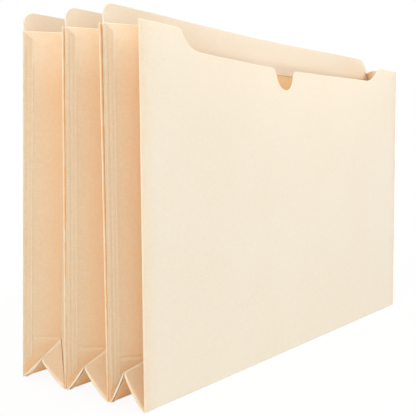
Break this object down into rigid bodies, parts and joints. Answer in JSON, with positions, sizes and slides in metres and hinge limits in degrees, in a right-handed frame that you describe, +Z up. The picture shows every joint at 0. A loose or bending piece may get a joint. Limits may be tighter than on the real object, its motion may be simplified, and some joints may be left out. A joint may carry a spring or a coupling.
{
  "type": "expanding file pocket",
  "caption": "Manila expanding file jackets in a row, with tabbed backs, thumb-notched fronts, V-fold side gussets and tented bottoms that open and close.",
  "frame": {"origin": "middle of the row's footprint, on the table", "axes": "+X along the panels, +Y from the front jacket to the rear one, +Z up"},
  "size_m": [0.3754, 0.1092, 0.2413],
  "materials": {
    "manila_front": "matt manila board",
    "manila_back": "matt manila board",
    "manila_gusset": "matt manila board, creased"
  },
  "bodies": {
    "front_pocket_back_panel": {"front_pocket_back_panel": "manila_back", "front_pocket_tab_ply": "manila_back"},
    "front_pocket_front_panel": {"front_pocket_front_panel": "manila_front"},
    "front_pocket_left_rear_gusset": {"front_pocket_left_rear_gusset": "manila_gusset", "front_pocket_left_glue_flap": "manila_back"},
    "front_pocket_left_front_gusset": {"front_pocket_left_front_gusset": "manila_gusset"},
    "front_pocket_left_rear_tuck": {"front_pocket_left_rear_tuck": "manila_back"},
    "front_pocket_left_front_tuck": {"front_pocket_left_front_tuck": "manila_back"},
    "front_pocket_right_rear_gusset": {"front_pocket_right_rear_gusset": "manila_gusset", "front_pocket_right_glue_flap": "manila_back"},
    "front_pocket_right_front_gusset": {"front_pocket_right_front_gusset": "manila_gusset"},
    "front_pocket_right_rear_tuck": {"front_pocket_right_rear_tuck": "manila_back"},
    "front_pocket_right_front_tuck": {"front_pocket_right_front_tuck": "manila_back"},
    "front_pocket_bottom_rear_leaf": {"front_pocket_bottom_rear_leaf": "manila_gusset"},
    "front_pocket_bottom_front_leaf": {"front_pocket_bottom_front_leaf": "manila_gusset"},
    "middle_pocket_back_panel": {"middle_pocket_back_panel": "manila_back", "middle_pocket_tab_ply": "manila_back"},
    "middle_pocket_front_panel": {"middle_pocket_front_panel": "manila_front"},
    "middle_pocket_left_rear_gusset": {"middle_pocket_left_rear_gusset": "manila_gusset", "middle_pocket_left_glue_flap": "manila_back"},
    "middle_pocket_left_front_gusset": {"middle_pocket_left_front_gusset": "manila_gusset"},
    "middle_pocket_left_rear_tuck": {"middle_pocket_left_rear_tuck": "manila_back"},
    "middle_pocket_left_front_tuck": {"middle_pocket_left_front_tuck": "manila_back"},
    "middle_pocket_right_rear_gusset": {"middle_pocket_right_rear_gusset": "manila_gusset", "middle_pocket_right_glue_flap": "manila_back"},
    "middle_pocket_right_front_gusset": {"middle_pocket_right_front_gusset": "manila_gusset"},
    "middle_pocket_right_rear_tuck": {"middle_pocket_right_rear_tuck": "manila_back"},
    "middle_pocket_right_front_tuck": {"middle_pocket_right_front_tuck": "manila_back"},
    "middle_pocket_bottom_rear_leaf": {"middle_pocket_bottom_rear_leaf": "manila_gusset"},
    "middle_pocket_bottom_front_leaf": {"middle_pocket_bottom_front_leaf": "manila_gusset"},
    "rear_pocket_back_panel": {"rear_pocket_back_panel": "manila_back", "rear_pocket_tab_ply": "manila_back"},
    "rear_pocket_front_panel": {"rear_pocket_front_panel": "manila_front"},
    "rear_pocket_left_rear_gusset": {"rear_pocket_left_rear_gusset": "manila_gusset", "rear_pocket_left_glue_flap": "manila_back"},
    "rear_pocket_left_front_gusset": {"rear_pocket_left_front_gusset": "manila_gusset"},
    "rear_pocket_left_rear_tuck": {"rear_pocket_left_rear_tuck": "manila_back"},
    "rear_pocket_left_front_tuck": {"rear_pocket_left_front_tuck": "manila_back"},
    "rear_pocket_right_rear_gusset": {"rear_pocket_right_rear_gusset": "manila_gusset", "rear_pocket_right_glue_flap": "manila_back"},
    "rear_pocket_right_front_gusset": {"rear_pocket_right_front_gusset": "manila_gusset"},
    "rear_pocket_right_rear_tuck": {"rear_pocket_right_rear_tuck": "manila_back"},
    "rear_pocket_right_front_tuck": {"rear_pocket_right_front_tuck": "manila_back"},
    "rear_pocket_bottom_rear_leaf": {"rear_pocket_bottom_rear_leaf": "manila_gusset"},
    "rear_pocket_bottom_front_leaf": {"rear_pocket_bottom_front_leaf": "manila_gusset"}
  },
  "joints": [
    {"name": "front_pocket_lift", "type": "slide", "parent": "middle_pocket_front_panel", "child": "front_pocket_back_panel", "axis": [0, 0, 1], "range_m": [0, 0.3]},
    {"name": "rear_pocket_lift", "type": "slide", "parent": "middle_pocket_back_panel", "child": "rear_pocket_front_panel", "axis": [0, 0, 1], "range_m": [0, 0.3]},
    {"name": "front_pocket_expand", "type": "hinge", "parent": "front_pocket_back_panel", "child": "front_pocket_left_rear_gusset", "pos_m": [-0.18695, -0.0261, 0.1143], "axis": [0, 0, -1], "range_deg": [-24.45, 30.55]},
    {"name": "front_pocket_left_ridge", "type": "hinge", "parent": "front_pocket_left_rear_gusset", "child": "front_pocket_left_front_gusset", "pos_m": [-0.16576, -0.0401, 0.1143], "axis": [0, 0, 1], "range_deg": [-49.4, 61.6]},
    {"name": "front_pocket_left_front_crease", "type": "hinge", "parent": "front_pocket_left_front_gusset", "child": "front_pocket_front_panel", "pos_m": [-0.18695, -0.0541, 0.1143], "axis": [0, 0, -1], "range_deg": [-24.95, 31.05]},
    {"name": "front_pocket_right_rear_crease", "type": "hinge", "parent": "front_pocket_back_panel", "child": "front_pocket_right_rear_gusset", "pos_m": [0.18695, -0.0261, 0.1143], "axis": [0, 0, 1], "range_deg": [-24.95, 31.05]},
    {"name": "front_pocket_right_ridge", "type": "hinge", "parent": "front_pocket_right_rear_gusset", "child": "front_pocket_right_front_gusset", "pos_m": [0.16576, -0.0401, 0.1143], "axis": [0, 0, -1], "range_deg": [-49.4, 61.6]},
    {"name": "front_pocket_bottom_rear_crease", "type": "hinge", "parent": "front_pocket_back_panel", "child": "front_pocket_bottom_rear_leaf", "pos_m": [0, -0.0261, 0.00035], "axis": [1, 0, 0], "range_deg": [-24.95, 31.05]},
    {"name": "front_pocket_bottom_ridge", "type": "hinge", "parent": "front_pocket_bottom_rear_leaf", "child": "front_pocket_bottom_front_leaf", "pos_m": [0, -0.0401, 0.02154], "axis": [-1, 0, 0], "range_deg": [-49.4, 61.6]},
    {"name": "front_pocket_left_rear_tuck_crease", "type": "hinge", "parent": "front_pocket_left_rear_gusset", "child": "front_pocket_left_rear_tuck", "pos_m": [-0.17652, -0.03335, 0.01305], "axis": [0.5991, -0.3758, 0.707], "range_deg": [-41.57, 51.83]},
    {"name": "front_pocket_left_front_tuck_crease", "type": "hinge", "parent": "front_pocket_left_front_gusset", "child": "front_pocket_left_front_tuck", "pos_m": [-0.17652, -0.04685, 0.01305], "axis": [-0.5991, -0.3758, -0.707], "range_deg": [-41.57, 51.83]},
    {"name": "front_pocket_right_rear_tuck_crease", "type": "hinge", "parent": "front_pocket_right_rear_gusset", "child": "front_pocket_right_rear_tuck", "pos_m": [0.17652, -0.03335, 0.01305], "axis": [0.5991, 0.3758, -0.707], "range_deg": [-41.57, 51.83]},
    {"name": "front_pocket_right_front_tuck_crease", "type": "hinge", "parent": "front_pocket_right_front_gusset", "child": "front_pocket_right_front_tuck", "pos_m": [0.17652, -0.04685, 0.01305], "axis": [-0.5991, 0.3758, 0.707], "range_deg": [-41.57, 51.83]},
    {"name": "middle_pocket_expand", "type": "hinge", "parent": "middle_pocket_back_panel", "child": "middle_pocket_left_rear_gusset", "pos_m": [-0.18695, 0.0112, 0.1143], "axis": [0, 0, -1], "range_deg": [-35.17, 19.83]},
    {"name": "middle_pocket_left_ridge", "type": "hinge", "parent": "middle_pocket_left_rear_gusset", "child": "middle_pocket_left_front_gusset", "pos_m": [-0.16873, -0.0065, 0.1143], "axis": [0, 0, 1], "range_deg": [-70.85, 40.15]},
    {"name": "middle_pocket_left_front_crease", "type": "hinge", "parent": "middle_pocket_left_front_gusset", "child": "middle_pocket_front_panel", "pos_m": [-0.18695, -0.0242, 0.1143], "axis": [0, 0, -1], "range_deg": [-35.67, 20.33]},
    {"name": "middle_pocket_right_rear_crease", "type": "hinge", "parent": "middle_pocket_back_panel", "child": "middle_pocket_right_rear_gusset", "pos_m": [0.18695, 0.0112, 0.1143], "axis": [0, 0, 1], "range_deg": [-35.67, 20.33]},
    {"name": "middle_pocket_right_ridge", "type": "hinge", "parent": "middle_pocket_right_rear_gusset", "child": "middle_pocket_right_front_gusset", "pos_m": [0.16873, -0.0065, 0.1143], "axis": [0, 0, -1], "range_deg": [-70.85, 40.15]},
    {"name": "middle_pocket_bottom_rear_crease", "type": "hinge", "parent": "middle_pocket_back_panel", "child": "middle_pocket_bottom_rear_leaf", "pos_m": [0, 0.0112, 0.00035], "axis": [1, 0, 0], "range_deg": [-35.67, 20.33]},
    {"name": "middle_pocket_bottom_ridge", "type": "hinge", "parent": "middle_pocket_bottom_rear_leaf", "child": "middle_pocket_bottom_front_leaf", "pos_m": [0, -0.0065, 0.01857], "axis": [-1, 0, 0], "range_deg": [-70.85, 40.15]},
    {"name": "middle_pocket_left_rear_tuck_crease", "type": "hinge", "parent": "middle_pocket_left_rear_gusset", "child": "middle_pocket_left_rear_tuck", "pos_m": [-0.17805, 0.00213, 0.01305], "axis": [0.5187, -0.4807, 0.707], "range_deg": [-62.76, 35.59]},
    {"name": "middle_pocket_left_front_tuck_crease", "type": "hinge", "parent": "middle_pocket_left_front_gusset", "child": "middle_pocket_left_front_tuck", "pos_m": [-0.17805, -0.01513, 0.01305], "axis": [-0.5187, -0.4807, -0.707], "range_deg": [-62.76, 35.59]},
    {"name": "middle_pocket_right_rear_tuck_crease", "type": "hinge", "parent": "middle_pocket_right_rear_gusset", "child": "middle_pocket_right_rear_tuck", "pos_m": [0.17805, 0.00213, 0.01305], "axis": [0.5187, 0.4807, -0.707], "range_deg": [-62.76, 35.59]},
    {"name": "middle_pocket_right_front_tuck_crease", "type": "hinge", "parent": "middle_pocket_right_front_gusset", "child": "middle_pocket_right_front_tuck", "pos_m": [0.17805, -0.01513, 0.01305], "axis": [-0.5187, 0.4807, 0.707], "range_deg": [-62.76, 35.59]},
    {"name": "rear_pocket_expand", "type": "hinge", "parent": "rear_pocket_front_panel", "child": "rear_pocket_left_front_gusset", "pos_m": [-0.18695, 0.0131, 0.1143], "axis": [0, 0, 1], "range_deg": [-44.81, 10.19]},
    {"name": "rear_pocket_left_ridge", "type": "hinge", "parent": "rear_pocket_left_front_gusset", "child": "rear_pocket_left_rear_gusset", "pos_m": [-0.17195, 0.0336, 0.1143], "axis": [0, 0, -1], "range_deg": [-90.12, 20.88]},
    {"name": "rear_pocket_left_rear_crease", "type": "hinge", "parent": "rear_pocket_left_rear_gusset", "child": "rear_pocket_back_panel", "pos_m": [-0.18695, 0.0541, 0.1143], "axis": [0, 0, 1], "range_deg": [-45.31, 10.69]},
    {"name": "rear_pocket_right_front_crease", "type": "hinge", "parent": "rear_pocket_front_panel", "child": "rear_pocket_right_front_gusset", "pos_m": [0.18695, 0.0131, 0.1143], "axis": [0, 0, -1], "range_deg": [-45.31, 10.69]},
    {"name": "rear_pocket_right_ridge", "type": "hinge", "parent": "rear_pocket_right_front_gusset", "child": "rear_pocket_right_rear_gusset", "pos_m": [0.17195, 0.0336, 0.1143], "axis": [0, 0, 1], "range_deg": [-90.12, 20.88]},
    {"name": "rear_pocket_bottom_front_crease", "type": "hinge", "parent": "rear_pocket_front_panel", "child": "rear_pocket_bottom_front_leaf", "pos_m": [0, 0.0131, 0.00035], "axis": [-1, 0, 0], "range_deg": [-45.31, 10.69]},
    {"name": "rear_pocket_bottom_ridge", "type": "hinge", "parent": "rear_pocket_bottom_front_leaf", "child": "rear_pocket_bottom_rear_leaf", "pos_m": [0, 0.0336, 0.01535], "axis": [1, 0, 0], "range_deg": [-90.12, 20.88]},
    {"name": "rear_pocket_left_rear_tuck_crease", "type": "hinge", "parent": "rear_pocket_left_rear_gusset", "child": "rear_pocket_left_rear_tuck", "pos_m": [-0.17969, 0.04367, 0.01305], "axis": [0.4309, -0.5608, 0.707], "range_deg": [-87.44, 20.26]},
    {"name": "rear_pocket_left_front_tuck_crease", "type": "hinge", "parent": "rear_pocket_left_front_gusset", "child": "rear_pocket_left_front_tuck", "pos_m": [-0.17969, 0.02353, 0.01305], "axis": [-0.4309, -0.5608, -0.707], "range_deg": [-87.44, 20.26]},
    {"name": "rear_pocket_right_rear_tuck_crease", "type": "hinge", "parent": "rear_pocket_right_rear_gusset", "child": "rear_pocket_right_rear_tuck", "pos_m": [0.17969, 0.04367, 0.01305], "axis": [0.4309, 0.5608, -0.707], "range_deg": [-87.44, 20.26]},
    {"name": "rear_pocket_right_front_tuck_crease", "type": "hinge", "parent": "rear_pocket_right_front_gusset", "child": "rear_pocket_right_front_tuck", "pos_m": [0.17969, 0.02353, 0.01305], "axis": [-0.4309, 0.5608, 0.707], "range_deg": [-87.44, 20.26]}
  ],
  "couplings": [
    {"joint": "front_pocket_left_ridge", "follows": "front_pocket_expand", "ratio": 2},
    {"joint": "front_pocket_left_front_crease", "follows": "front_pocket_expand", "ratio": 1},
    {"joint": "front_pocket_right_rear_crease", "follows": "front_pocket_expand", "ratio": 1},
    {"joint": "front_pocket_right_ridge", "follows": "front_pocket_expand", "ratio": 2},
    {"joint": "front_pocket_bottom_rear_crease", "follows": "front_pocket_expand", "ratio": 1},
    {"joint": "front_pocket_bottom_ridge", "follows": "front_pocket_expand", "ratio": 2},
    {"joint": "front_pocket_left_rear_tuck_crease", "follows": "front_pocket_expand", "ratio": 1.68},
    {"joint": "front_pocket_left_front_tuck_crease", "follows": "front_pocket_expand", "ratio": 1.68},
    {"joint": "front_pocket_right_rear_tuck_crease", "follows": "front_pocket_expand", "ratio": 1.68},
    {"joint": "front_pocket_right_front_tuck_crease", "follows": "front_pocket_expand", "ratio": 1.68},
    {"joint": "middle_pocket_left_ridge", "follows": "middle_pocket_expand", "ratio": 2},
    {"joint": "middle_pocket_left_front_crease", "follows": "middle_pocket_expand", "ratio": 1},
    {"joint": "middle_pocket_right_rear_crease", "follows": "middle_pocket_expand", "ratio": 1},
    {"joint": "middle_pocket_right_ridge", "follows": "middle_pocket_expand", "ratio": 2},
    {"joint": "middle_pocket_bottom_rear_crease", "follows": "middle_pocket_expand", "ratio": 1},
    {"joint": "middle_pocket_bottom_ridge", "follows": "middle_pocket_expand", "ratio": 2},
    {"joint": "middle_pocket_left_rear_tuck_crease", "follows": "middle_pocket_expand", "ratio": 1.77},
    {"joint": "middle_pocket_left_front_tuck_crease", "follows": "middle_pocket_expand", "ratio": 1.77},
    {"joint": "middle_pocket_right_rear_tuck_crease", "follows": "middle_pocket_expand", "ratio": 1.77},
    {"joint": "middle_pocket_right_front_tuck_crease", "follows": "middle_pocket_expand", "ratio": 1.77},
    {"joint": "rear_pocket_left_ridge", "follows": "rear_pocket_expand", "ratio": 2},
    {"joint": "rear_pocket_left_rear_crease", "follows": "rear_pocket_expand", "ratio": 1},
    {"joint": "rear_pocket_right_front_crease", "follows": "rear_pocket_expand", "ratio": 1},
    {"joint": "rear_pocket_right_ridge", "follows": "rear_pocket_expand", "ratio": 2},
    {"joint": "rear_pocket_bottom_front_crease", "follows": "rear_pocket_expand", "ratio": 1},
    {"joint": "rear_pocket_bottom_ridge", "follows": "rear_pocket_expand", "ratio": 2},
    {"joint": "rear_pocket_left_rear_tuck_crease", "follows": "rear_pocket_expand", "ratio": 1.94},
    {"joint": "rear_pocket_left_front_tuck_crease", "follows": "rear_pocket_expand", "ratio": 1.94},
    {"joint": "rear_pocket_right_rear_tuck_crease", "follows": "rear_pocket_expand", "ratio": 1.94},
    {"joint": "rear_pocket_right_front_tuck_crease", "follows": "rear_pocket_expand", "ratio": 1.94}
  ]
}
